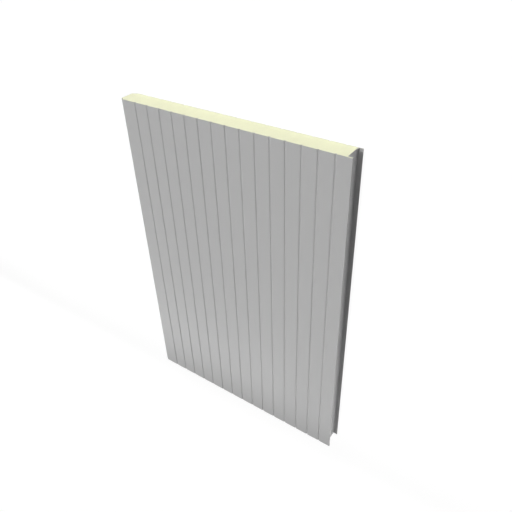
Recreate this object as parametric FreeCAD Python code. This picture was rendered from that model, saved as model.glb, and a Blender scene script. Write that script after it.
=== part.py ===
"""Insulated sandwich panel with a tongue-and-groove joint, 1000 mm cover width.

The panel lies flat with its weather face up.  Two grooved, roll-formed steel facings hold a rigid
foam core between them; each long edge is sealed with a foil film that is tucked behind the
facings' edge legs.  Every piece has one cross-section in the XZ plane and runs straight along Y.

Frame, in millimetres: X is the cover width with the groove side at +X, Y is the length,
Z points out of the weather face.  The origin is the middle of the underside's bounding box.
"""
import FreeCAD, Part
import math
import os

Vector = FreeCAD.Vector

# ---- driving dimensions -------------------------------------------------------------------
LENGTH = 1465.0             # along Y
COVER_WIDTH = 1000.0        # joint to joint, along X
THICKNESS = 80.0            # outer face to inner face, along Z
STEEL = 0.5                 # coated sheet, both facings
FILM = 0.2                  # edge foil
BEND = 0.5                  # inside radius of every folded edge

# grooves, alike on both faces
GROOVES = 15
GROOVE_PITCH = 62.3
FIRST_GROOVE = 70.0         # from the tongue shoulder to the first groove's middle
GROOVE_MOUTH = 9.0          # across the top of a groove
GROOVE_FLOOR = 2.4          # across its flat floor
GROOVE_DEPTH = 3.5
GROOVE_BEND = 1.0           # inside radius of the rolled corners

# groove side: a channel between a thick outer lip and a thin inner lip
CHANNEL = 18.0              # from the cover line back to the channel floor
OUTER_LIP = 6.0             # thickness of the lip under the weather face
INNER_LIP = 2.2             # thickness of the lip along the inner face
CHANNEL_LEG = 9.0           # what each facing covers of the channel floor

# tongue side
TONGUE = 12.5               # how far the nose stands out past the shoulder
SHOULDER = 7.0              # depth of the shoulder below the weather face
NOSE_TOP = 10.0             # depth of the nose's upper edge
NOSE_BOTTOM = 68.0          # depth of the nose's lower edge
HEEL = 13.0                 # where the lower flank meets the inner face, in from the shoulder
NOSE_LEG = 9.0              # what each facing covers of the nose
FILM_TUCK = 6.0             # how far a film runs behind a facing's leg

# ---- reference lines ----------------------------------------------------------------------
SHOULDER_X = TONGUE - (COVER_WIDTH + TONGUE) / 2.0
NOSE_X = SHOULDER_X - TONGUE
COVER_X = SHOULDER_X + COVER_WIDTH
FLOOR_X = COVER_X - CHANNEL


def level(depth):
    """Height of a line that lies the given depth below the weather face."""
    return THICKNESS - depth


# ---- helpers for sections -----------------------------------------------------------------
def unit(a, b):
    """Unit direction from point a to point b."""
    length = math.hypot(b[0] - a[0], b[1] - a[1])
    return ((b[0] - a[0]) / length, (b[1] - a[1]) / length)


def turn(points, i):
    """Signed turn at corner i, positive to the left."""
    ux, uz = unit(points[i - 1], points[i])
    vx, vz = unit(points[i], points[i + 1])
    return math.atan2(ux * vz - uz * vx, ux * vx + uz * vz)


def offset_path(points, distance):
    """Mitred copy of an open path, moved to its left by distance."""
    moved = []
    last = len(points) - 1
    for i, (x, z) in enumerate(points):
        before = unit(points[max(i - 1, 0)], points[max(i, 1)])
        after = unit(points[min(i, last - 1)], points[min(i + 1, last)])
        nx, nz = -(before[1] + after[1]), before[0] + after[0]
        scale = distance / (1.0 + before[0] * after[0] + before[1] * after[1])
        moved.append((x + nx * scale, z + nz * scale))
    return moved


def bent_path(points, radii):
    """Line and arc edges along an open path, each inner corner rounded to its own radius."""
    edges = []
    start = Vector(points[0][0], 0, points[0][1])
    for i in range(1, len(points) - 1):
        corner = Vector(points[i][0], 0, points[i][1])
        before = unit(points[i - 1], points[i])
        after = unit(points[i], points[i + 1])
        half = turn(points, i) / 2.0
        setback = radii[i] * abs(math.tan(half))
        entry = corner - Vector(before[0], 0, before[1]) * setback
        leave = corner + Vector(after[0], 0, after[1]) * setback
        inward = Vector(after[0] - before[0], 0, after[1] - before[1]).normalize()
        middle = corner + inward * (radii[i] / math.cos(half) - radii[i])
        edges.append(Part.LineSegment(start, entry).toShape())
        edges.append(Part.Arc(entry, middle, leave).toShape())
        start = leave
    end = Vector(points[-1][0], 0, points[-1][1])
    edges.append(Part.LineSegment(start, end).toShape())
    return edges


def path_ends(edges):
    """First and last point of a chain of edges."""
    return edges[0].firstVertex(True).Point, edges[-1].lastVertex(True).Point


def straight(a, b):
    """Straight edge between two points."""
    return Part.LineSegment(a, b).toShape()


def run_along_y(edges):
    """Solid of a closed section, centred on Y and as long as the panel."""
    face = Part.Face(Part.Wire(Part.__sortEdges__(edges)))
    solid = face.extrude(Vector(0, LENGTH, 0))
    solid.translate(Vector(0, -LENGTH / 2.0, 0))
    return solid


# ---- paths on the outside of each facing, foam to the left ---------------------------------
def groove_corners(face_depth, inward):
    """Corners of all grooves of one face, from the tongue side to the groove side."""
    corners = []
    for i in range(GROOVES):
        middle = SHOULDER_X + FIRST_GROOVE + i * GROOVE_PITCH
        floor = level(face_depth + inward * GROOVE_DEPTH)
        corners += [(middle - GROOVE_MOUTH / 2.0, level(face_depth)),
                    (middle - GROOVE_FLOOR / 2.0, floor),
                    (middle + GROOVE_FLOOR / 2.0, floor),
                    (middle + GROOVE_MOUTH / 2.0, level(face_depth))]
    return corners


def outer_facing_path():
    """Channel leg, folded lip, grooved face, shoulder, upper flank and nose leg."""
    lip = [(FLOOR_X, level(OUTER_LIP + CHANNEL_LEG)),
           (FLOOR_X, level(OUTER_LIP)),
           (COVER_X, level(OUTER_LIP)),
           (COVER_X, level(0))]
    face = groove_corners(0, 1)[::-1]
    tongue = [(SHOULDER_X, level(0)),
              (SHOULDER_X, level(SHOULDER)),
              (NOSE_X, level(NOSE_TOP)),
              (NOSE_X, level(NOSE_TOP + NOSE_LEG))]
    return lip + face + tongue


def inner_facing_path():
    """Nose leg, lower flank, grooved face, folded lip and channel leg."""
    tongue = [(NOSE_X, level(NOSE_BOTTOM - NOSE_LEG)),
              (NOSE_X, level(NOSE_BOTTOM)),
              (SHOULDER_X + HEEL, level(THICKNESS))]
    face = groove_corners(THICKNESS, -1)
    lip = [(COVER_X, level(THICKNESS)),
           (COVER_X, level(THICKNESS - INNER_LIP)),
           (FLOOR_X, level(THICKNESS - INNER_LIP)),
           (FLOOR_X, level(THICKNESS - INNER_LIP - CHANNEL_LEG))]
    return tongue + face + lip


def bend_radii(points, moved_in):
    """Radius at each corner of a facing's outside, or of its foam side if moved_in."""
    first_groove = SHOULDER_X + FIRST_GROOVE - GROOVE_MOUTH
    last_groove = SHOULDER_X + FIRST_GROOVE + (GROOVES - 1) * GROOVE_PITCH + GROOVE_MOUTH
    radii = [0.0] * len(points)
    for i in range(1, len(points) - 1):
        rolled = first_groove < points[i][0] < last_groove
        inside = GROOVE_BEND if rolled else BEND
        foam_is_inside = turn(points, i) > 0
        radii[i] = inside if foam_is_inside == moved_in else inside + STEEL
    return radii


def facing_sides(points):
    """Edges of a facing's outside and of its foam side."""
    outside = bent_path(points, bend_radii(points, False))
    foam_side = bent_path(offset_path(points, STEEL), bend_radii(points, True))
    return outside, foam_side


# ---- pieces -------------------------------------------------------------------------------
def facing(points):
    """Folded steel sheet along a path."""
    outside, foam_side = facing_sides(points)
    outside_start, outside_end = path_ends(outside)
    foam_start, foam_end = path_ends(foam_side)
    closing = [straight(outside_start, foam_start), straight(outside_end, foam_end)]
    return run_along_y(outside + foam_side + closing)


def film_span(top_leg_end, bottom_leg_end):
    """Lowest and highest line of a film tucked behind two legs that end at these depths."""
    return level(bottom_leg_end + FILM_TUCK), level(top_leg_end - FILM_TUCK)


CHANNEL_FILM_SPAN = film_span(OUTER_LIP + CHANNEL_LEG, THICKNESS - INNER_LIP - CHANNEL_LEG)
NOSE_FILM_SPAN = film_span(NOSE_TOP + NOSE_LEG, NOSE_BOTTOM - NOSE_LEG)


def film(backed_x, inward, span):
    """Foil strip whose outer side lies against the back of the facings' legs."""
    low, high = span
    corner = Vector(min(backed_x, backed_x + inward * FILM), -LENGTH / 2.0, low)
    return Part.makeBox(FILM, LENGTH, high - low, corner)


def film_recess(top, bottom, inward):
    """Edges of the shallow step that a film fills in one side of the foam."""
    step = Vector(inward, 0, 0)
    return [straight(top, top + step),
            straight(top + step, bottom + step),
            straight(bottom + step, bottom)]


def foam_core():
    """Foam that fills both facings, recessed by the films' thickness at each edge."""
    outer_points = outer_facing_path()
    inner_points = inner_facing_path()
    channel_low, channel_high = CHANNEL_FILM_SPAN
    nose_low, nose_high = NOSE_FILM_SPAN
    outer_points[0] = (FLOOR_X, channel_high)
    outer_points[-1] = (NOSE_X, nose_high)
    inner_points[0] = (NOSE_X, nose_low)
    inner_points[-1] = (FLOOR_X, channel_low)
    _, under_outer = facing_sides(outer_points)
    _, under_inner = facing_sides(inner_points)
    channel_top, nose_top = path_ends(under_outer)
    nose_bottom, channel_bottom = path_ends(under_inner)
    edges = under_outer + under_inner
    edges += film_recess(channel_top, channel_bottom, -FILM)
    edges += film_recess(nose_top, nose_bottom, FILM)
    return run_along_y(edges)


def build():
    """All pieces by name."""
    return {
        "outer_facing": facing(outer_facing_path()),
        "inner_facing": facing(inner_facing_path()),
        "foam_core": foam_core(),
        "groove_side_film": film(FLOOR_X - STEEL, -1, CHANNEL_FILM_SPAN),
        "tongue_side_film": film(NOSE_X + STEEL, 1, NOSE_FILM_SPAN),
    }


os.makedirs("parts", exist_ok=True)
for name, solid in build().items():
    if not solid.isValid() or len(solid.Solids) != 1:
        raise ValueError(name + " is not one valid solid")
    solid.exportStep("parts/" + name + ".step")
    print("%-18s %9.1f cm3" % (name, solid.Volume / 1000.0))
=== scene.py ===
"""Dressed insulated sandwich panel, lying flat with its weather face up.

Two roll-formed steel facings, the foam core between them and the foil on both long edges are each
one cross-section carried along the panel's length.  Sizes are metres in the row frame: X is the
cover width with the groove edge at +X, Y the length, Z points out of the weather face.
"""

import logging
import math
from collections.abc import Sequence
from dataclasses import dataclass, field
from enum import Enum
from typing import Any

import bpy
import numpy as np
from mathutils import Matrix, Vector


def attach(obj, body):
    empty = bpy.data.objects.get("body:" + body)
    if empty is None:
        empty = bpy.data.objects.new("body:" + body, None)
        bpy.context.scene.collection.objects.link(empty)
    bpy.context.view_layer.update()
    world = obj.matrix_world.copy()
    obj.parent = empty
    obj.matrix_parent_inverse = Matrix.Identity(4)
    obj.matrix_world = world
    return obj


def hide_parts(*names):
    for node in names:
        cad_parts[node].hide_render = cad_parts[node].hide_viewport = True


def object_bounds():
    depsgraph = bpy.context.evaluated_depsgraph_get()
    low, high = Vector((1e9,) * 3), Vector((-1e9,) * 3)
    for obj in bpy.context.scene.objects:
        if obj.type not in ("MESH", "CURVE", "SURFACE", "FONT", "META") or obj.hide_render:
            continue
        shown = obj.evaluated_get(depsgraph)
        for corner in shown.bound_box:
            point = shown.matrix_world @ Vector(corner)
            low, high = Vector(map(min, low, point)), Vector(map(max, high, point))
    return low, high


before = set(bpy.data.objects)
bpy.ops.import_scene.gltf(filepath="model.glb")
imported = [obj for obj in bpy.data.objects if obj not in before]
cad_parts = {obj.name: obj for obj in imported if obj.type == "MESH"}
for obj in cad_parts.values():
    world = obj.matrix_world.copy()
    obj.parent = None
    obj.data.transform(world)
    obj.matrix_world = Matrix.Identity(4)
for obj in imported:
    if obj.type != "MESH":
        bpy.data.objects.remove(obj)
CAD_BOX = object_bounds()

LOG = logging.getLogger("sandwich_panel")
MM = 0.001
WELD = 1e-6
GRID_DECIMALS = 7
PATH_DECIMALS = 9
BARE_EDGE = "bare_edge"
WHITE = (1.0, 1.0, 1.0)


class Slot(Enum):
    """Material slots of the record."""

    COATED_STEEL = "coated_steel"
    FOAM = "foam"
    EDGE_FOIL = "edge_foil"


class Side(Enum):
    """The panel's two long edges."""

    TONGUE = "tongue"
    GROOVE = "groove"


# ---- surfaces -------------------------------------------------------------------------------


@dataclass
class Surface:
    """Closed mesh as whole arrays.

    Attributes:
        points: One vertex per row.
        quads: Four vertex numbers per row, counter-clockwise seen from outside.
        bare: One number per quad, 1 where a cut edge shows bare metal.
    """

    points: np.ndarray
    quads: np.ndarray
    bare: np.ndarray

    def as_object(self, name: str, crease_degrees: float) -> bpy.types.Object:
        """Puts the arrays into a mesh object.

        Args:
            name: The piece's name.
            crease_degrees: Edges that turn more than this stay sharp.

        Returns:
            The new object, at the origin.
        """
        mesh = bpy.data.meshes.new(name)
        mesh.vertices.add(len(self.points))
        mesh.vertices.foreach_set("co", self.points.astype(np.float32).ravel())
        mesh.loops.add(self.quads.size)
        mesh.loops.foreach_set("vertex_index", self.quads.astype(np.int32).ravel())
        mesh.polygons.add(len(self.quads))
        starts = np.arange(0, self.quads.size, 4, dtype=np.int32)
        mesh.polygons.foreach_set("loop_start", starts)
        mesh.update(calc_edges=True)
        mesh.polygons.foreach_set("use_smooth", np.ones(len(self.quads), dtype=bool))
        mesh.set_sharp_from_angle(angle=math.radians(crease_degrees))
        layer = mesh.attributes.new(BARE_EDGE, "FLOAT", "FACE")
        layer.data.foreach_set("value", self.bare.astype(np.float32))
        mesh.validate()
        piece = bpy.data.objects.new(name, mesh)
        bpy.context.scene.collection.objects.link(piece)
        shading = piece.modifiers.new("even_shading", "WEIGHTED_NORMAL")
        shading.keep_sharp = True
        return piece


def unit_rows(vectors: np.ndarray) -> np.ndarray:
    """Each row divided by its own length."""
    return vectors / np.linalg.norm(vectors, axis=1, keepdims=True)


def run_directions(corners: np.ndarray) -> tuple[np.ndarray, np.ndarray]:
    """Directions before and after each corner of an open path.

    Args:
        corners: Path corners, one (x, z) per row.

    Returns:
        Unit directions before and after every corner; both are the same at the two ends.
    """
    runs = unit_rows(np.diff(corners, axis=0))
    return np.vstack([runs[:1], runs]), np.vstack([runs, runs[-1:]])


def left_of(directions: np.ndarray) -> np.ndarray:
    """Unit directions a quarter turn to the left: (x, z) becomes (-z, x)."""
    return np.column_stack([-directions[:, 1], directions[:, 0]])


def moved_left(corners: np.ndarray, distance: float) -> np.ndarray:
    """Mitred copy of an open path at a fixed distance to its left.

    With n and m the left normals before and after a corner, the corner moves by
    distance * (n + m) / (1 + n.m), which keeps both runs at that distance.

    Args:
        corners: Path corners, one (x, z) per row.
        distance: How far the path moves.

    Returns:
        The moved corners.
    """
    before, after = run_directions(corners)
    n, m = left_of(before), left_of(after)
    share = 1.0 + np.sum(n * m, axis=1, keepdims=True)
    return corners + distance * (n + m) / share


def rounded(corners: np.ndarray, radii: np.ndarray, steps: int) -> np.ndarray:
    """Open path with an arc in place of each inner corner.

    A corner that turns by a is replaced by an arc of radius r that starts r * tan(|a| / 2)
    before it.  The arc's centre lies r to the inside, and the arc's points are the vector from the
    centre to its start, turned by 0 to a in equal steps.

    Args:
        corners: Path corners, one (x, z) per row.
        radii: Radius at each corner; the two ends aren't read.
        steps: Straight pieces in each arc.

    Returns:
        All points of the path in order.
    """
    before, after = run_directions(corners)
    cross = before[:, 0] * after[:, 1] - before[:, 1] * after[:, 0]
    turn = np.arctan2(cross, np.sum(before * after, axis=1))[1:-1]
    radius = radii[1:-1]
    entry = corners[1:-1] - before[1:-1] * (radius * np.tan(np.abs(turn) / 2.0))[:, None]
    centre = entry + left_of(before[1:-1]) * (radius * np.sign(turn))[:, None]
    angle = turn[:, None] * np.linspace(0.0, 1.0, steps + 1)
    spoke = (entry - centre)[:, None, :]
    cos, sin = np.cos(angle), np.sin(angle)
    turned = np.stack([spoke[..., 0] * cos - spoke[..., 1] * sin,
                       spoke[..., 0] * sin + spoke[..., 1] * cos], axis=-1)
    arcs = (centre[:, None, :] + turned).reshape(-1, 2)
    return np.vstack([corners[:1], arcs, corners[-1:]])


def strip_quads(count: int) -> np.ndarray:
    """Quads between two parallel rows of points, the second row numbered after the first."""
    i = np.arange(count - 1)
    return np.column_stack([i, i + 1, i + 1 + count, i + count])


def grid_quads(columns: int, rows: int) -> np.ndarray:
    """Quads of a grid whose point (column, row) has the number column * rows + row.

    Args:
        columns: Number of columns.
        rows: Number of points in each.

    Returns:
        Four point numbers per quad.
    """
    column, row = np.meshgrid(np.arange(columns - 1), np.arange(rows - 1), indexing="ij")
    first = (column * rows + row).ravel()
    return np.column_stack([first, first + rows, first + rows + 1, first + 1])


def carried(section: np.ndarray, quads: np.ndarray, stations: np.ndarray,
            bare_pairs: np.ndarray | None = None) -> Surface:
    """Closed surface of a flat section carried along Y.

    Point (i, s) of the wall is (x_i, y_s, z_i).  The section's own quads close both ends, and an
    edge that only one quad has gets a wall through all stations.

    Args:
        section: Section points, one (x, z) per row.
        quads: Section quads, counter-clockwise with x to the right and z up.
        stations: Rising Y values; the first and last are the two ends.
        bare_pairs: Pairs of section points whose wall is a cut edge.

    Returns:
        The closed surface, with the end caps marked as cut.
    """
    count = len(section)
    levels = len(stations)
    points = np.empty((levels, count, 3))
    points[:, :, 0] = section[:, 0]
    points[:, :, 1] = stations[:, None]
    points[:, :, 2] = section[:, 1]
    a = quads.ravel()
    b = np.roll(quads, -1, axis=1).ravel()
    rim = ~np.isin(a * count + b, b * count + a)
    a, b = a[rim], b[rim]
    shift = (np.arange(levels - 1) * count)[:, None]
    wall = np.stack([a + shift, a + shift + count, b + shift + count, b + shift], axis=-1)
    cut = np.zeros(len(a))
    if bare_pairs is not None:
        keys = np.sort(bare_pairs, axis=1) @ np.array([count, 1])
        cut = np.isin(np.minimum(a, b) * count + np.maximum(a, b), keys).astype(float)
    far_end = quads[:, ::-1] + (levels - 1) * count
    bare = np.concatenate([np.ones(len(quads)), np.ones(len(quads)), np.tile(cut, levels - 1)])
    return Surface(points.reshape(-1, 3), np.vstack([quads, far_end, wall.reshape(-1, 4)]), bare)


def welded(section: np.ndarray, quads: np.ndarray) -> tuple[np.ndarray, np.ndarray]:
    """Section with points that coincide made one.

    Matching columns have the same x.  Taken by rising x and then by rising z, a point that is
    within WELD of the one before it is the same point, and the one that was given first stays.

    Args:
        section: Section points, one (x, z) per row.
        quads: Section quads.

    Returns:
        The points that are left and the quads on them.
    """
    order = np.lexsort((section[:, 1], section[:, 0]))
    moves_on = (np.abs(np.diff(section[order], axis=0)) > WELD).any(axis=1)
    begins = np.append(True, moves_on)
    number = np.empty(len(section), dtype=np.int64)
    number[order] = np.cumsum(begins) - 1
    first = np.minimum.reduceat(order, np.flatnonzero(begins))
    return section[first], number[quads]


def ripple(u: np.ndarray, v: np.ndarray, wave: float, seed: int, count: int = 9) -> np.ndarray:
    """Smooth irregular relief over two coordinates, mostly between -1 and 1.

    It is the mean of several cosine waves, times the square root of two.  Their directions and
    phases are drawn from a seeded generator, and their lengths lie between 0.6 and 1.8 times wave.

    Args:
        u: First coordinate of every point.
        v: Second coordinate of every point.
        wave: Typical length of a wave.
        seed: Seed of the draw.
        count: How many waves are added.

    Returns:
        One number for every point.
    """
    draw = np.random.default_rng(seed)
    heading = draw.uniform(0.0, math.tau, count)
    length = wave * draw.uniform(0.6, 1.8, count)
    phase = draw.uniform(0.0, math.tau, count)
    along = np.outer(u, np.cos(heading)) + np.outer(v, np.sin(heading))
    return np.cos(math.tau * along / length + phase).mean(axis=1) * math.sqrt(2.0)


# ---- sizes of the section -------------------------------------------------------------------


@dataclass(frozen=True)
class Section:
    """Cross-section of the panel; depths are measured down from the weather face."""

    low: Vector
    high: Vector
    steel: float = 0.5 * MM
    film: float = 0.2 * MM
    bend: float = 0.5 * MM
    grooves: int = 15
    groove_pitch: float = 62.3 * MM
    first_groove: float = 70.0 * MM
    groove_mouth: float = 9.0 * MM
    groove_floor: float = 2.4 * MM
    groove_depth: float = 3.5 * MM
    groove_bend: float = 1.0 * MM
    channel: float = 18.0 * MM
    outer_lip: float = 6.0 * MM
    inner_lip: float = 2.2 * MM
    leg: float = 9.0 * MM
    tongue: float = 12.5 * MM
    shoulder: float = 7.0 * MM
    nose_top: float = 10.0 * MM
    nose_bottom: float = 68.0 * MM
    heel: float = 13.0 * MM
    film_tuck: float = 6.0 * MM

    @property
    def nose_x(self) -> float:
        """Outside of the tongue's nose."""
        return self.low.x

    @property
    def shoulder_x(self) -> float:
        """Cover line on the tongue side."""
        return self.low.x + self.tongue

    @property
    def floor_x(self) -> float:
        """Floor of the channel, outside of the facings' legs."""
        return self.high.x - self.channel

    @property
    def thickness(self) -> float:
        """Weather face to inner face."""
        return self.high.z - self.low.z

    def level(self, depth: float) -> float:
        """Height of a line at a depth below the weather face."""
        return self.high.z - depth

    def groove_corners(self, face_depth: float, inward: float) -> np.ndarray:
        """Corners of one face's grooves, from the tongue to the groove side.

        Groove i has its middle at shoulder + first + i * pitch; its four corners lie half a mouth
        and half a floor to each side of that.

        Args:
            face_depth: Depth of the face.
            inward: 1 if the grooves go down into the panel, -1 if up.

        Returns:
            Four (x, z) rows for each groove.
        """
        middle = self.shoulder_x + self.first_groove + np.arange(self.grooves) * self.groove_pitch
        across = np.array([-self.groove_mouth, -self.groove_floor,
                           self.groove_floor, self.groove_mouth]) / 2.0
        drop = np.array([0.0, 1.0, 1.0, 0.0]) * inward * self.groove_depth
        x = (middle[:, None] + across).ravel()
        z = np.tile(self.level(face_depth) - drop, self.grooves)
        return np.column_stack([x, z])

    def outer_corners(self) -> np.ndarray:
        """Outside of the outer facing: channel leg, lip, grooved face, shoulder, nose leg.

        Returns:
            One (x, z) row per corner.
        """
        lip = [(self.floor_x, self.level(self.outer_lip + self.leg)),
               (self.floor_x, self.level(self.outer_lip)),
               (self.high.x, self.level(self.outer_lip)),
               (self.high.x, self.level(0.0))]
        tongue = [(self.shoulder_x, self.level(0.0)),
                  (self.shoulder_x, self.level(self.shoulder)),
                  (self.nose_x, self.level(self.nose_top)),
                  (self.nose_x, self.level(self.nose_top + self.leg))]
        return np.vstack([lip, self.groove_corners(0.0, 1.0)[::-1], tongue])

    def inner_corners(self) -> np.ndarray:
        """Outside of the inner facing: nose leg, flank, grooved face, thin lip, channel leg.

        Returns:
            One (x, z) row per corner.
        """
        bottom = self.thickness
        tongue = [(self.nose_x, self.level(self.nose_bottom - self.leg)),
                  (self.nose_x, self.level(self.nose_bottom)),
                  (self.shoulder_x + self.heel, self.level(bottom))]
        lip = [(self.high.x, self.level(bottom)),
               (self.high.x, self.level(bottom - self.inner_lip)),
               (self.floor_x, self.level(bottom - self.inner_lip)),
               (self.floor_x, self.level(bottom - self.inner_lip - self.leg))]
        return np.vstack([tongue, self.groove_corners(bottom, -1.0), lip])

    def bend_radii(self, corners: np.ndarray, foam_side: bool) -> np.ndarray:
        """Radius of every bend, as seen on the facing's outside or on its foam side.

        The side on the inside of a bend has the inside radius, and the other side has that radius
        and the sheet's thickness.  Foam lies to the left, so its side is the inside one where the
        path turns left.

        Args:
            corners: Outside corners of the facing.
            foam_side: Whether the radii are those of the foam side.

        Returns:
            One radius per corner.
        """
        before, after = run_directions(corners)
        left_turn = before[:, 0] * after[:, 1] - before[:, 1] * after[:, 0] > 0.0
        first = self.shoulder_x + self.first_groove - self.groove_mouth
        last = first + (self.grooves - 1) * self.groove_pitch + 2.0 * self.groove_mouth
        rolled = (corners[:, 0] > first) & (corners[:, 0] < last)
        inside = np.where(rolled, self.groove_bend, self.bend)
        return np.where(left_turn == foam_side, inside, inside + self.steel)

    def facing_sides(self, corners: np.ndarray, steps: int) -> tuple[np.ndarray, np.ndarray]:
        """Rounds both sides of a facing.

        Args:
            corners: Corners of its outside.
            steps: Straight pieces in each bend.

        Returns:
            Its outside and its foam side, with matching points.
        """
        outside = rounded(corners, self.bend_radii(corners, False), steps)
        foam_corners = moved_left(corners, self.steel)
        return outside, rounded(foam_corners, self.bend_radii(corners, True), steps)


# ---- finishes -------------------------------------------------------------------------------


class Recipe:
    """Short way to write the nodes of a material or of the world."""

    def __init__(self, owner: bpy.types.Material | bpy.types.World, output: str) -> None:
        """Empties the owner's nodes and puts its output node there.

        Args:
            owner: Material or world whose nodes are written.
            output: Blender's name of the output node's type.
        """
        owner.use_nodes = True
        self.owner = owner
        self.tree = owner.node_tree
        self.tree.nodes.clear()
        self.output = self.node(output)

    def node(self, kind: str, inputs: dict[str, Any] | None = None,
             **settings: Any) -> bpy.types.Node:
        """Adds one node.

        Args:
            kind: Blender's name of the node type.
            inputs: Socket names with a number, a colour or another node's output.
            **settings: The node's own options.

        Returns:
            The node.
        """
        made = self.tree.nodes.new(kind)
        for option, value in settings.items():
            setattr(made, option, value)
        for socket, value in (inputs or {}).items():
            self.feed(made.inputs[socket], value)
        return made

    def feed(self, socket: bpy.types.NodeSocket, value: Any) -> None:
        """Links an output to a socket, or sets the socket's own value."""
        if isinstance(value, bpy.types.NodeSocket):
            self.tree.links.new(value, socket)
        else:
            socket.default_value = value

    def place(self, stretch: Sequence[float] = (1.0, 1.0, 1.0)) -> bpy.types.NodeSocket:
        """Object coordinates in metres, each axis multiplied by its stretch.

        Args:
            stretch: One factor per axis; below 1 it draws a pattern out.

        Returns:
            The coordinates.
        """
        coordinates = self.node("ShaderNodeTexCoord").outputs["Object"]
        mapping = self.node("ShaderNodeMapping", {"Vector": coordinates})
        mapping.inputs["Scale"].default_value = stretch
        return mapping.outputs["Vector"]

    def noise(self, size: float, detail: float = 2.0,
              stretch: Sequence[float] = (1.0, 1.0, 1.0)) -> bpy.types.NodeSocket:
        """Noise whose blotches are about size metres across, between 0 and 1."""
        inputs = {"Vector": self.place(stretch), "Scale": 1.0 / size, "Detail": detail}
        return self.node("ShaderNodeTexNoise", inputs).outputs["Fac"]

    def math(self, operation: str, first: Any, second: Any = 0.0) -> bpy.types.NodeSocket:
        """Arithmetic on two values.

        Args:
            operation: Blender's name of the operation.
            first: First value.
            second: Second value.

        Returns:
            The result.
        """
        made = self.node("ShaderNodeMath", operation=operation)
        self.feed(made.inputs[0], first)
        self.feed(made.inputs[1], second)
        return made.outputs[0]

    def ramp(self, value: Any, low: float, high: float, to_low: float = 0.0,
             to_high: float = 1.0) -> bpy.types.NodeSocket:
        """Straight-line change of a value from one range to another, held at both ends."""
        inputs = {"Value": value, "From Min": low, "From Max": high,
                  "To Min": to_low, "To Max": to_high}
        return self.node("ShaderNodeMapRange", inputs).outputs["Result"]

    def around(self, value: Any, middle: float, change: float) -> bpy.types.NodeSocket:
        """Number that a noise moves by up to the change to either side of its middle."""
        return self.ramp(value, 0.3, 0.7, middle - change, middle + change)

    def blend(self, share: Any, first: Any, second: Any) -> bpy.types.NodeSocket:
        """Mixes two colours.

        Args:
            share: How much of the second colour is taken, from 0 to 1.
            first: Colour at 0.
            second: Colour at 1.

        Returns:
            The mixed colour.
        """
        made = self.node("ShaderNodeMix", data_type="RGBA")
        self.feed(made.inputs[0], share)
        self.feed(made.inputs[6], first)
        self.feed(made.inputs[7], second)
        return made.outputs[2]

    def shades(self, value: Any, colour: Sequence[float],
               shares: tuple[float, float]) -> bpy.types.NodeSocket:
        """Colour whose share goes from the first to the second as the value goes from 0 to 1."""
        return self.blend(value, tint(colour, shares[0]), tint(colour, shares[1]))

    def relief(self, height: Any, rise: float,
               below: bpy.types.NodeSocket | None = None) -> bpy.types.NodeSocket:
        """Bump of a height map.

        Args:
            height: Height between 0 and 1.
            rise: Metres from height 0 to height 1.
            below: Normal of a coarser bump that this one adds to.

        Returns:
            The bent normal.
        """
        made = self.node("ShaderNodeBump", {"Height": height, "Distance": rise, "Strength": 1.0})
        if below is not None:
            self.feed(made.inputs["Normal"], below)
        return made.outputs["Normal"]

    def seen(self) -> bpy.types.NodeSocket:
        """Tells a look at the surface from the light that it throws on other things.

        Returns:
            One where a view, a reflection or clear matter shows the surface, and zero elsewhere.
        """
        path = self.node("ShaderNodeLightPath").outputs
        mirrored = self.math("MAXIMUM", path["Is Glossy Ray"], path["Is Transmission Ray"])
        return self.math("MAXIMUM", path["Is Camera Ray"], mirrored)

    def coat(self, inputs: dict[str, Any]) -> bpy.types.Material:
        """Finishes a material whose surface is one principled shader with these inputs."""
        return self.finish(self.node("ShaderNodeBsdfPrincipled", inputs).outputs["BSDF"])

    def finish(self, surface: bpy.types.NodeSocket) -> bpy.types.Material | bpy.types.World:
        """Links the surface to the output and returns the material or world."""
        self.feed(self.output.inputs["Surface"], surface)
        return self.owner


def material_recipe(name: str) -> Recipe:
    """Recipe of a new material of that name."""
    return Recipe(bpy.data.materials.new(name), "ShaderNodeOutputMaterial")


def tint(colour: Sequence[float], factor: float) -> tuple[float, float, float, float]:
    """Colour multiplied by a factor, opaque."""
    return (colour[0] * factor, colour[1] * factor, colour[2] * factor, 1.0)


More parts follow.
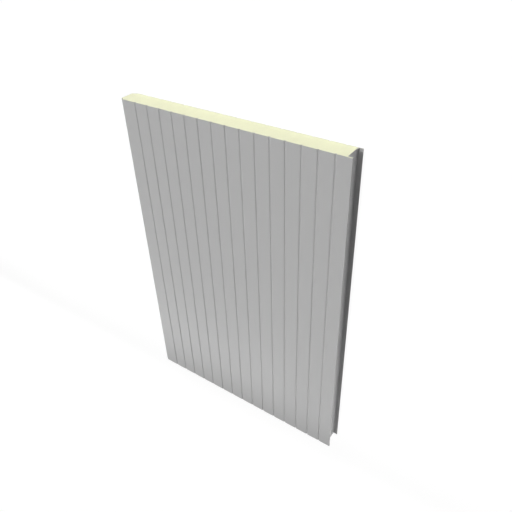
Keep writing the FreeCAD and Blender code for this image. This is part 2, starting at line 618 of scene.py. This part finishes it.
@dataclass(frozen=True)
class CoatedSteel:
    """Satin grey coil coating on zinc-coated steel, bare where the sheet was cut.

    Attributes:
        colour: Colour of the coat.
        cloud: Size of the coat's faint clouds.
        cloud_shades: Darkest and lightest share of the colour in them.
        roughness: Roughness of the coat.
        patch: Size of the patches in which the roughness changes.
        patch_change: How much it changes.
        grain: Size of the coat's grain.
        grain_rise: Height of the grain.
        sheet_wave: Length of the sheet's waves.
        sheet_rise: Height of the waves.
        bare_colour: Colour of a cut edge.
        bare_shades: Darkest and lightest share of that colour.
        bare_roughness: Roughness of a cut edge.
        scratch: Width of a cut edge's scratches.
    """

    colour: tuple[float, float, float] = (0.47, 0.47, 0.47)
    cloud: float = 180.0 * MM
    cloud_shades: tuple[float, float] = (0.985, 1.015)
    roughness: float = 0.30
    patch: float = 35.0 * MM
    patch_change: float = 0.02
    grain: float = 0.9 * MM
    grain_rise: float = 0.012 * MM
    sheet_wave: float = 260.0 * MM
    sheet_rise: float = 0.10 * MM
    bare_colour: tuple[float, float, float] = (0.52, 0.53, 0.54)
    bare_shades: tuple[float, float] = (0.8, 1.1)
    bare_roughness: float = 0.36
    scratch: float = 0.25 * MM

    def build(self) -> bpy.types.Material:
        """Makes the material: cloudy coat, fine grain, faint waves and bare cut edges.

        Returns:
            The material.
        """
        r = material_recipe("grey_coil_coating")
        cut = r.node("ShaderNodeAttribute", attribute_name=BARE_EDGE,
                     attribute_type="GEOMETRY").outputs["Fac"]
        clouds = r.noise(self.cloud, 3.0, (1.0, 0.35, 1.0))
        coat = r.shades(clouds, self.colour, self.cloud_shades)
        scratches = r.noise(self.scratch, 2.0, (1.0, 0.05, 1.0))
        metal = r.shades(scratches, self.bare_colour, self.bare_shades)
        gloss = r.around(r.noise(self.patch), self.roughness, self.patch_change)
        rough = r.math("ADD", r.math("MULTIPLY", cut, self.bare_roughness),
                       r.math("MULTIPLY", r.math("SUBTRACT", 1.0, cut), gloss))
        wave = r.relief(r.noise(self.sheet_wave, 0.0, (1.0, 0.4, 1.0)), self.sheet_rise)
        grain = r.relief(r.noise(self.grain, 1.0), self.grain_rise, wave)
        return r.coat({"Base Color": r.blend(cut, coat, metal), "Metallic": cut,
                       "Roughness": rough, "Normal": grain})


@dataclass(frozen=True)
class CutFoam:
    """Sawn rigid foam: pale cream yellow, tiny closed cells, denser against the facings.

    Attributes:
        colour: Colour of the foam.
        roughness: Roughness of the foam.
        cell: Size of a cell.
        cell_rise: Height of the walls between cells.
        pore: Size of the spots where larger cells lie open.
        cell_shade: Least and most painted shade that a cell's hollow takes of the dark colour.
        hollow_shade: Share of the colour that the painted shade gives a hollow at most depth.
        flow: Size of the marks that the foam leaves as it rises.
        flow_shades: Darkest and lightest share of the colour in those marks.
        saw: Width of a saw mark.
        saw_rise: Height of a saw mark.
        half: Half the foam's thickness, which is also its middle's height.
        skin: Half the depth over which the foam gets denser.
        skin_shade: Share of the colour that the densest foam has.
        skin_share: How much of that shade the foam takes at the facings.
    """

    colour: tuple[float, float, float] = (0.845, 0.855, 0.612)
    roughness: float = 0.88
    cell: float = 0.55 * MM
    cell_rise: float = 0.16 * MM
    pore: float = 1.7 * MM
    cell_shade: tuple[float, float] = (0.04, 0.30)
    hollow_shade: float = 0.70
    flow: float = 24.0 * MM
    flow_shades: tuple[float, float] = (0.975, 1.02)
    saw: float = 2.2 * MM
    saw_rise: float = 0.10 * MM
    half: float = 40.0 * MM
    skin: float = 2.5 * MM
    skin_shade: float = 0.86
    skin_share: float = 0.35

    def build(self) -> bpy.types.Material:
        """Makes the material: cells with painted shade in the open ones, flow marks through the
        thickness and darker skins.

        Returns:
            The material.
        """
        r = material_recipe("sawn_rigid_foam")
        cells = r.node("ShaderNodeTexVoronoi", {"Vector": r.place((1.0, 1.0, 0.75)),
                                                "Scale": 1.0 / self.cell})
        wall = r.ramp(cells.outputs["Distance"], 0.0, 0.75)
        flow = r.ramp(r.noise(self.flow, 4.0, (1.0, 1.0, 0.3)), 0.25, 0.75)
        body = r.shades(flow, self.colour, self.flow_shades)
        # Painted shade: open cells are darkened along the same cell pattern that drives the bump.
        painted_pore_shade = r.ramp(r.noise(self.pore, 2.0), 0.55, 0.75, *self.cell_shade)
        shade = r.blend(r.math("MULTIPLY", wall, painted_pore_shade), body,
                        tint(self.colour, self.hollow_shade))
        height = r.node("ShaderNodeSeparateXYZ", {"Vector": r.place()}).outputs["Z"]
        from_middle = r.math("ABSOLUTE", r.math("SUBTRACT", height, self.half))
        near_skin = r.ramp(from_middle, self.half - 2.0 * self.skin, self.half,
                           0.0, self.skin_share)
        colour = r.blend(near_skin, shade, tint(self.colour, self.skin_shade))
        saw = r.relief(r.noise(self.saw, 1.0, (1.0, 1.0, 0.08)), self.saw_rise)
        bump = r.relief(wall, self.cell_rise, saw)
        return r.coat({"Base Color": colour, "Roughness": self.roughness, "Normal": bump})


@dataclass(frozen=True)
class EdgeFoil:
    """Dull grey foil laminate with fine creases.

    Attributes:
        colour: Colour of the lacquer.
        cloud: Size of its clouds.
        cloud_shades: Darkest and lightest share of the colour.
        roughness: Roughness of the lacquer.
        patch: Size of the patches in which the roughness changes.
        patch_change: How much it changes.
        crease: Size of the fields between creases.
        crease_rise: Height of a crease.
    """

    colour: tuple[float, float, float] = (0.55, 0.55, 0.55)
    cloud: float = 30.0 * MM
    cloud_shades: tuple[float, float] = (0.94, 1.05)
    roughness: float = 0.5
    patch: float = 8.0 * MM
    patch_change: float = 0.05
    crease: float = 6.0 * MM
    crease_rise: float = 0.18 * MM

    def build(self) -> bpy.types.Material:
        """Makes the material: cloudy lacquer over creased foil.

        Returns:
            The material.
        """
        r = material_recipe("grey_edge_foil")
        colour = r.shades(r.noise(self.cloud, 3.0), self.colour, self.cloud_shades)
        folds = r.node("ShaderNodeTexVoronoi", {"Vector": r.place((1.0, 0.6, 1.0)),
                                                "Scale": 1.0 / self.crease},
                       feature="DISTANCE_TO_EDGE").outputs["Distance"]
        creased = r.relief(r.ramp(folds, 0.0, 0.12), self.crease_rise)
        rough = r.around(r.noise(self.patch), self.roughness, self.patch_change)
        return r.coat({"Base Color": colour, "Roughness": rough, "Normal": creased})


@dataclass(frozen=True)
class WhiteFloor:
    """Matt floor that shows white where nothing shades it.

    Attributes:
        grey: How pale the floor is to the light that it throws back.
        shown: How much of the light and shadow on it is seen.
        lift: Even glow on top of that, so that the lit floor is seen white.
    """

    grey: float = 0.80
    shown: float = 0.10
    lift: float = 0.935

    def build(self) -> bpy.types.Material:
        """Makes the material: plain matt, and whiter to the camera and in reflections.

        Returns:
            The material.
        """
        r = material_recipe("white_floor")
        matt = r.node("ShaderNodeBsdfDiffuse", {"Color": tint(WHITE, self.grey)})
        shown = r.node("ShaderNodeBsdfDiffuse", {"Color": tint(WHITE, self.shown)})
        glow = r.node("ShaderNodeEmission", {"Strength": self.lift})
        lifted = r.node("ShaderNodeAddShader")
        r.feed(lifted.inputs[0], shown.outputs[0])
        r.feed(lifted.inputs[1], glow.outputs[0])
        both = r.node("ShaderNodeMixShader", {"Fac": r.seen()})
        r.feed(both.inputs[1], matt.outputs[0])
        r.feed(both.inputs[2], lifted.outputs[0])
        return r.finish(both.outputs[0])


# ---- pieces ---------------------------------------------------------------------------------


@dataclass
class Piece:
    """What every piece of the panel shares.

    Attributes:
        section: The panel's cross-section.
        material: The piece's finish.
        node: Solid that the piece stands for.
        name: Name of the piece.
        slot: Material slot of the record; not used.
        crease_degrees: Edges that turn more than this stay sharp.
    """

    section: Section
    material: bpy.types.Material
    node: str
    name: str
    slot: Slot
    crease_degrees: float = 60.0

    def dress(self, surface: Surface) -> bpy.types.Object:
        """Makes the object, gives it its finish and puts it on the frame.

        Args:
            surface: The piece's closed surface.

        Returns:
            The finished piece.
        """
        piece = surface.as_object(self.name, self.crease_degrees)
        piece.data.materials.append(self.material)
        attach(piece, "root")
        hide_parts(self.node)
        LOG.info("%s: %d faces, stands for %s", self.name, len(surface.quads), self.node)
        return piece


@dataclass
class Facing(Piece):
    """One roll-formed steel sheet with its lip, grooves, tongue flank and two legs.

    Attributes:
        corners: Corners of the sheet's outside.
        steps: Straight pieces in each bend.
        stations: How many points the sheet has along its length.
    """

    crease_degrees: float = 35.0
    corners: np.ndarray = field(default_factory=lambda: np.empty((0, 2)))
    steps: int = 6
    stations: int = 9

    def build(self) -> bpy.types.Object:
        """Carries the strip between the sheet's two sides along the panel.

        Returns:
            The finished sheet.
        """
        outside, foam_side = self.section.facing_sides(self.corners, self.steps)
        count = len(outside)
        cut_edges = np.array([[0, count], [count - 1, 2 * count - 1]])
        stations = np.linspace(self.section.low.y, self.section.high.y, self.stations)
        surface = carried(np.vstack([outside, foam_side]), strip_quads(count), stations, cut_edges)
        return self.dress(surface)


@dataclass
class Block:
    """Part of the foam's section between two borders, as a grid.

    Attributes:
        start: Where the block begins along X.
        end: Where it ends.
        lower: Points (x, z) of its lower border, x rising.
        upper: Points (x, z) of its upper border, x rising.
    """

    start: float
    end: float
    lower: np.ndarray
    upper: np.ndarray

    def heights(self, x: np.ndarray) -> tuple[np.ndarray, np.ndarray]:
        """Height of the lower and of the upper border at every x."""
        return (np.interp(x, self.lower[:, 0], self.lower[:, 1]),
                np.interp(x, self.upper[:, 0], self.upper[:, 1]))

    def grid(self, spacing: float, shares: np.ndarray) -> tuple[np.ndarray, np.ndarray]:
        """Point (i, j) is at x_i and at lower(x_i) + share_j * (upper(x_i) - lower(x_i)).

        Args:
            spacing: Rough distance between columns; every bend of a border gets one too.
            shares: Row shares, rising from 0 to 1.

        Returns:
            Points and quads of the block.
        """
        even = np.linspace(self.start, self.end, round((self.end - self.start) / spacing) + 2)
        bends = np.concatenate([self.lower[:, 0], self.upper[:, 0]])
        bends = bends[(bends > self.start) & (bends < self.end)]
        x = np.unique(np.round(np.concatenate([even, bends]), GRID_DECIMALS))
        low, high = self.heights(x)
        z = low[:, None] + (high - low)[:, None] * shares
        points = np.stack([np.broadcast_to(x[:, None], z.shape), z], axis=-1).reshape(-1, 2)
        return points, grid_quads(len(x), len(shares))


def out_and_back(path: np.ndarray) -> tuple[np.ndarray, np.ndarray]:
    """Splits a path that runs out along X and returns, at its furthest point.

    Args:
        path: Points (x, z) from the tongue side to the lip's edge and back to the channel.

    Returns:
        The way out and the way back, both with x rising.
    """
    path = np.column_stack([np.round(path[:, 0], PATH_DECIMALS), path[:, 1]])
    furthest = np.flatnonzero(path[:, 0] == path[:, 0].max())
    return path[:furthest[0] + 1], path[furthest[-1]:][::-1]


def stretch_of(border: np.ndarray, start: float, end: float) -> np.ndarray:
    """Part of a border between two x values, without the upright runs that stand at them.

    Args:
        border: Points (x, z), x rising.
        start: Where the part begins.
        end: Where it ends.

    Returns:
        The points of that part.
    """
    start, end = round(start, PATH_DECIMALS), round(end, PATH_DECIMALS)
    first = max(int(np.searchsorted(border[:, 0], start, side="right")) - 1, 0)
    last = int(np.searchsorted(border[:, 0], end, side="left"))
    return border[first:last + 1]


@dataclass
class FoamCore(Piece):
    """The foam block with its nose and its two lips; both ends are sawn.

    Attributes:
        column: Rough width of the ends' grid.
        row: Rough height of the ends' grid.
        bend_steps: Straight pieces in each bend.
        recess: How far the sawn ends lie behind the sheets' ends.
        saw_rise: Depth of the saw's waves.
        saw_wave: Length of the saw's waves.
        saw_slant: How fast a wave changes along Z against X.
        saw_seed: Seed of the saw's waves.
        tear_rise: Depth of the torn cells.
        tear_wave: Size of the torn cells.
        tear_waves: How many waves make the torn cells.
        tear_seed: Seed of the torn cells.
    """

    column: float = 2.2 * MM
    row: float = 1.9 * MM
    bend_steps: int = 3
    recess: float = 0.10 * MM
    saw_rise: float = 0.16 * MM
    saw_wave: float = 9.0 * MM
    saw_slant: float = 0.15
    saw_seed: int = 11
    tear_rise: float = 0.08 * MM
    tear_wave: float = 4.5 * MM
    tear_waves: int = 14
    tear_seed: int = 12

    def blocks(self) -> tuple[Block, Block, Block, Block]:
        """Splits the foam's section where its outline jumps.

        Returns:
            Nose, main block, lower lip and upper lip.
        """
        s = self.section
        _, inner = s.facing_sides(s.inner_corners(), self.bend_steps)
        _, outer = s.facing_sides(s.outer_corners(), self.bend_steps)
        floor_out, floor_back = out_and_back(inner)
        roof_out, roof_back = out_and_back(outer[::-1])
        tip = s.nose_x + s.steel + s.film
        neck = s.shoulder_x + s.steel
        wall = s.floor_x - s.steel - s.film
        leg = s.floor_x - s.steel
        end = s.high.x - s.steel
        nose = Block(tip, neck, stretch_of(floor_out, tip, neck), stretch_of(roof_out, tip, neck))
        main = Block(neck, wall, stretch_of(floor_out, neck, wall),
                     stretch_of(roof_out, neck, wall))
        lower_lip = Block(wall, end, stretch_of(floor_out, wall, end),
                          stretch_of(floor_back, leg, end))
        upper_lip = Block(wall, end, stretch_of(roof_back, leg, end),
                          stretch_of(roof_out, wall, end))
        return nose, main, lower_lip, upper_lip

    def section_grid(self) -> tuple[np.ndarray, np.ndarray]:
        """Four block grids with matching rows, welded into one section.

        The main block's rows include the heights at which the nose and the lips meet it, so a
        neighbour takes the rows below or above that height and spreads them over its own.

        Returns:
            Points and quads of the whole section.
        """
        nose, main, lower_lip, upper_lip = self.blocks()
        neck_low, neck_high = (float(h[0]) for h in main.heights(np.array([main.start])))
        wall_low, wall_high = (float(h[0]) for h in main.heights(np.array([main.end])))
        nose_share = (nose.upper[-1, 1] - neck_low) / (neck_high - neck_low)
        low_share = (lower_lip.upper[0, 1] - wall_low) / (wall_high - wall_low)
        high_share = (upper_lip.lower[0, 1] - wall_low) / (wall_high - wall_low)
        rows = round((wall_high - wall_low) / self.row)
        marks = np.array([nose_share, low_share, high_share])
        shares = np.unique(np.concatenate([np.linspace(0.0, 1.0, rows), marks]))
        pieces = [main.grid(self.column, shares),
                  nose.grid(self.column, shares[shares <= nose_share] / nose_share),
                  lower_lip.grid(self.column, shares[shares <= low_share] / low_share),
                  upper_lip.grid(self.column, (shares[shares >= high_share] - high_share)
                                 / (1.0 - high_share))]
        starts = np.cumsum([0] + [len(points) for points, _ in pieces[:-1]])
        points = np.vstack([points for points, _ in pieces])
        quads = np.vstack([quads + start for (_, quads), start in zip(pieces, starts)])
        return welded(points, quads)

    def build(self) -> bpy.types.Object:
        """Carries the section along the panel and gives both ends their sawn relief.

        An end's point moves in by recess + saw_rise * (1 + saw) / 2 + tear_rise * (1 + tear) / 2.
        The saw's waves are long along Z, as a band saw leaves them, and the torn cells are short.

        Returns:
            The finished core.
        """
        section, quads = self.section_grid()
        ends = np.array([self.section.low.y, self.section.high.y])
        surface = carried(section, quads, ends)
        x, y, z = surface.points.T
        saw = ripple(x, z * self.saw_slant + y, self.saw_wave, self.saw_seed)
        tear = ripple(x + y, z, self.tear_wave, self.tear_seed, self.tear_waves)
        rise = self.saw_rise * (1.0 + saw) / 2.0 + self.tear_rise * (1.0 + tear) / 2.0
        surface.points[:, 1] -= np.sign(y) * np.maximum(self.recess + rise, 0.0)
        surface.bare[:] = 0.0
        return self.dress(surface)


@dataclass
class EdgeFilm(Piece):
    """Foil over the foam of one long edge, tucked behind both facings' legs.

    Attributes:
        side: Long edge that the foil covers.
        rows: How many points the foil has across its width.
        station: Rough distance between its points along the panel.
        pucker: How far it puckers outwards.
        pucker_wave: Size of a pucker.
        pucker_stretch: Factor on distances along the panel; below 1 puckers are longer there.
        pucker_limit: Furthest pucker, as a share of the sheet's thickness.
        pucker_seed: Seed of the puckers.
    """

    side: Side = Side.GROOVE
    rows: int = 34
    station: float = 3.0 * MM
    pucker: float = 0.22 * MM
    pucker_wave: float = 26.0 * MM
    pucker_stretch: float = 0.7
    pucker_limit: float = 0.8
    pucker_seed: int = 0

    def line(self) -> np.ndarray:
        """Outside of the foil, with the foam to its left.

        Returns:
            One (x, z) row per point.
        """
        s = self.section
        if self.side is Side.GROOVE:
            x = s.floor_x - s.steel
            low = s.level(s.thickness - s.inner_lip - s.leg + s.film_tuck)
            high = s.level(s.outer_lip + s.leg - s.film_tuck)
            z = np.linspace(low, high, self.rows)
        else:
            x = s.nose_x + s.steel
            low = s.level(s.nose_bottom - s.leg + s.film_tuck)
            high = s.level(s.nose_top + s.leg - s.film_tuck)
            z = np.linspace(high, low, self.rows)
        return np.column_stack([np.full(self.rows, x), z])

    def build(self) -> bpy.types.Object:
        """Carries the foil's strip along the panel and lets it pucker outwards between the legs.

        A point moves out by pucker * sin(pi * t)^0.5 * (1 + waves) / 2 and never past the legs,
        where t runs from 0 to 1 over the foil's open height, so it lies flat where they hold it.

        Returns:
            The finished foil.
        """
        s = self.section
        outside = self.line()
        strip = np.vstack([outside, moved_left(outside, s.film)])
        length = s.high.y - s.low.y
        stations = np.linspace(s.low.y, s.high.y, round(length / self.station) + 1)
        surface = carried(strip, strip_quads(self.rows), stations)
        x, y, z = surface.points.T
        low, high = outside[:, 1].min() + s.film_tuck, outside[:, 1].max() - s.film_tuck
        open_share = np.clip((z - low) / (high - low), 0.0, 1.0)
        waves = ripple(y * self.pucker_stretch, z, self.pucker_wave, self.pucker_seed)
        out = self.pucker * np.sqrt(np.sin(math.pi * open_share)) * (1.0 + waves) / 2.0
        outward = 1.0 if self.side is Side.GROOVE else -1.0
        surface.points[:, 0] += outward * np.clip(out, 0.0, self.pucker_limit * s.steel)
        surface.bare[:] = 0.0
        return self.dress(surface)


# ---- studio ---------------------------------------------------------------------------------


@dataclass(frozen=True)
class Camera:
    """Camera past the panel's corner at +X and +Y, looking down on it.

    Attributes:
        place: Where it stands.
        aim: Point that it looks at.
        roll_degrees: Turn about its own axis.
        lens: Focal length in millimetres.
        sensor: Sensor width in millimetres.
        reach: How far it sees.
    """

    place: Vector = Vector((1.1554, 1.4963, 1.5032))
    aim: Vector = Vector((0.1279, 0.2129, 0.0800))
    roll_degrees: float = -2.067
    lens: float = 38.706
    sensor: float = 36.0
    reach: float = 100.0

    def build(self) -> bpy.types.Object:
        """Makes the scene's camera, upright along the panel's length and then rolled.

        Returns:
            The camera.
        """
        forward = (self.aim - self.place).normalized()
        level_right = forward.cross(Vector((0.0, 1.0, 0.0))).normalized()
        right = Matrix.Rotation(math.radians(-self.roll_degrees), 3, forward) @ level_right
        up = right.cross(forward)
        turn = Matrix((right, up, -forward)).transposed()
        data = bpy.data.cameras.new("camera")
        data.lens = self.lens
        data.sensor_width = self.sensor
        data.clip_end = self.reach
        camera = bpy.data.objects.new("camera", data)
        camera.matrix_world = Matrix.Translation(self.place) @ turn.to_4x4()
        bpy.context.scene.collection.objects.link(camera)
        bpy.context.scene.camera = camera
        return camera


@dataclass(frozen=True)
class SoftSun:
    """Broad, even light from one direction.

    Attributes:
        name: Lamp name.
        source: Direction towards the light.
        strength: Irradiance on a surface that faces it.
        spread_degrees: Apparent size of the light.
        shines: Whether the coat's gloss shows the lamp.
    """

    name: str
    source: tuple[float, float, float]
    strength: float
    spread_degrees: float
    shines: bool = True

    def build(self) -> bpy.types.Object:
        """Makes the lamp.

        Returns:
            The lamp.
        """
        data = bpy.data.lights.new(self.name, "SUN")
        data.energy = self.strength
        data.angle = math.radians(self.spread_degrees)
        lamp = bpy.data.objects.new(self.name, data)
        lamp.visible_glossy = self.shines
        lamp.rotation_euler = Vector(self.source).to_track_quat("Z", "Y").to_euler()
        bpy.context.scene.collection.objects.link(lamp)
        return lamp


@dataclass(frozen=True)
class SoftBox:
    """Rectangular lamp near the panel, its width along X as far as its direction allows.

    Attributes:
        name: Lamp name.
        place: Middle of the lamp.
        aim: Point that it faces.
        power: Total power.
        size: Width and height.
        spread_degrees: How wide the lamp's grid lets the light fan out.
        shines: Whether the coat's gloss shows the lamp.
    """

    name: str
    place: tuple[float, float, float]
    aim: tuple[float, float, float]
    power: float
    size: tuple[float, float]
    spread_degrees: float = 180.0
    shines: bool = True

    def build(self) -> bpy.types.Object:
        """Makes the lamp, which no view shows.

        Returns:
            The lamp.
        """
        data = bpy.data.lights.new(self.name, "AREA")
        data.energy = self.power
        data.shape = "RECTANGLE"
        data.size, data.size_y = self.size
        data.spread = math.radians(self.spread_degrees)
        lamp = bpy.data.objects.new(self.name, data)
        lamp.visible_camera = False
        lamp.visible_glossy = self.shines
        away = (Vector(self.place) - Vector(self.aim)).normalized()
        across = (Vector((1.0, 0.0, 0.0)) - away * away.x).normalized()
        turn = Matrix((across, away.cross(across), away)).transposed()
        lamp.matrix_world = Matrix.Translation(self.place) @ turn.to_4x4()
        bpy.context.scene.collection.objects.link(lamp)
        return lamp


@dataclass(frozen=True)
class Studio:
    """Floor, lamps and surrounding light.

    Attributes:
        ambient: Light from all round.
        floor_reach: Half the side of the floor.
        floor_height: Height of the floor, a hair below the panel.
        lamps: Every lamp; the ceiling has a narrow gap over the panel's end at -Y.
    """

    ambient: float = 0.105
    floor_reach: float = 40.0
    floor_height: float = -0.0002
    lamps: tuple[SoftSun | SoftBox, ...] = (
        SoftBox("ceiling", place=(-0.19, 0.64, 1.63), aim=(0.0, 0.40, 0.08),
                power=70.0, size=(16.0, 2.32), spread_degrees=20.0, shines=False),
        SoftBox("far_ceiling", place=(-0.19, -6.76, 1.63), aim=(0.0, -7.0, 0.08),
                power=362.0, size=(16.0, 12.0), spread_degrees=20.0, shines=False),
        SoftBox("near_ceiling", place=(-0.19, 7.8, 1.63), aim=(0.0, 7.56, 0.08),
                power=362.0, size=(16.0, 12.0), spread_degrees=20.0, shines=False),
        SoftSun("front", source=(-0.10, 0.98, 0.15), strength=1.78, spread_degrees=20.0,
                shines=False),
        SoftSun("back", source=(0.0, -1.0, 0.02), strength=1.6, spread_degrees=4.0,
                shines=False),
        SoftBox("groove_strip", place=(1.70, -1.85, 0.32), aim=(0.50, -0.60, 0.05),
                power=1.0, size=(0.8, 0.2), spread_degrees=50.0, shines=False),
        SoftBox("low_strip", place=(-1.00, -1.21, 0.68), aim=(-0.50, -0.30, 0.08),
                power=1.16, size=(1.8, 0.15)),
    )

    def build_floor(self) -> bpy.types.Object:
        """Makes the pale floor, a square that reaches past every view.

        Returns:
            The floor.
        """
        r = self.floor_reach
        mesh = bpy.data.meshes.new("floor")
        corners = [(-r, -r, self.floor_height), (r, -r, self.floor_height),
                   (r, r, self.floor_height), (-r, r, self.floor_height)]
        mesh.from_pydata(corners, [], [(0, 1, 2, 3)])
        floor = bpy.data.objects.new("floor", mesh)
        floor.data.materials.append(WhiteFloor().build())
        bpy.context.scene.collection.objects.link(floor)
        return floor

    def build_world(self) -> None:
        """Even light from all round, white where the camera or a reflection sees it."""
        world = bpy.data.worlds.new("studio")
        bpy.context.scene.world = world
        r = Recipe(world, "ShaderNodeOutputWorld")
        strength = r.ramp(r.seen(), 0.0, 1.0, self.ambient, 1.0)
        sky = r.node("ShaderNodeBackground", {"Color": tint(WHITE, 1.0), "Strength": strength})
        r.finish(sky.outputs[0])

    def build(self) -> None:
        """Makes the floor, the lamps and the surrounding light."""
        self.build_floor()
        for lamp in self.lamps:
            lamp.build()
        self.build_world()
        bpy.context.scene.view_settings.view_transform = "Standard"


# ---- the panel ------------------------------------------------------------------------------


def build_panel(section: Section) -> list[bpy.types.Object]:
    """Builds and dresses every piece.

    Args:
        section: The panel's cross-section.

    Returns:
        The pieces in the order in which they are made.
    """
    steel, foam, foil = CoatedSteel().build(), CutFoam().build(), EdgeFoil().build()
    parts = (
        Facing(section, steel, "outer_facing", "outer_facing_sheet", Slot.COATED_STEEL,
               corners=section.outer_corners()),
        Facing(section, steel, "inner_facing", "inner_facing_sheet", Slot.COATED_STEEL,
               corners=section.inner_corners()),
        FoamCore(section, foam, "foam_core", "foam_core_block", Slot.FOAM),
        EdgeFilm(section, foil, "groove_side_film", "groove_side_foil", Slot.EDGE_FOIL,
                 side=Side.GROOVE, pucker_seed=21),
        EdgeFilm(section, foil, "tongue_side_film", "tongue_side_foil", Slot.EDGE_FOIL,
                 side=Side.TONGUE, pucker_seed=22),
    )
    return [part.build() for part in parts]


def write_sizes() -> None:
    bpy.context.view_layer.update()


def main() -> None:
    """Builds the camera, the studio and the panel, in that order."""
    logging.basicConfig(level=logging.INFO, format="%(name)s: %(message)s")
    Camera().build()
    Studio().build()
    pieces = build_panel(Section(*CAD_BOX))
    LOG.info("%d pieces in all", len(pieces))
    write_sizes()


if __name__ == "__main__":
    main()
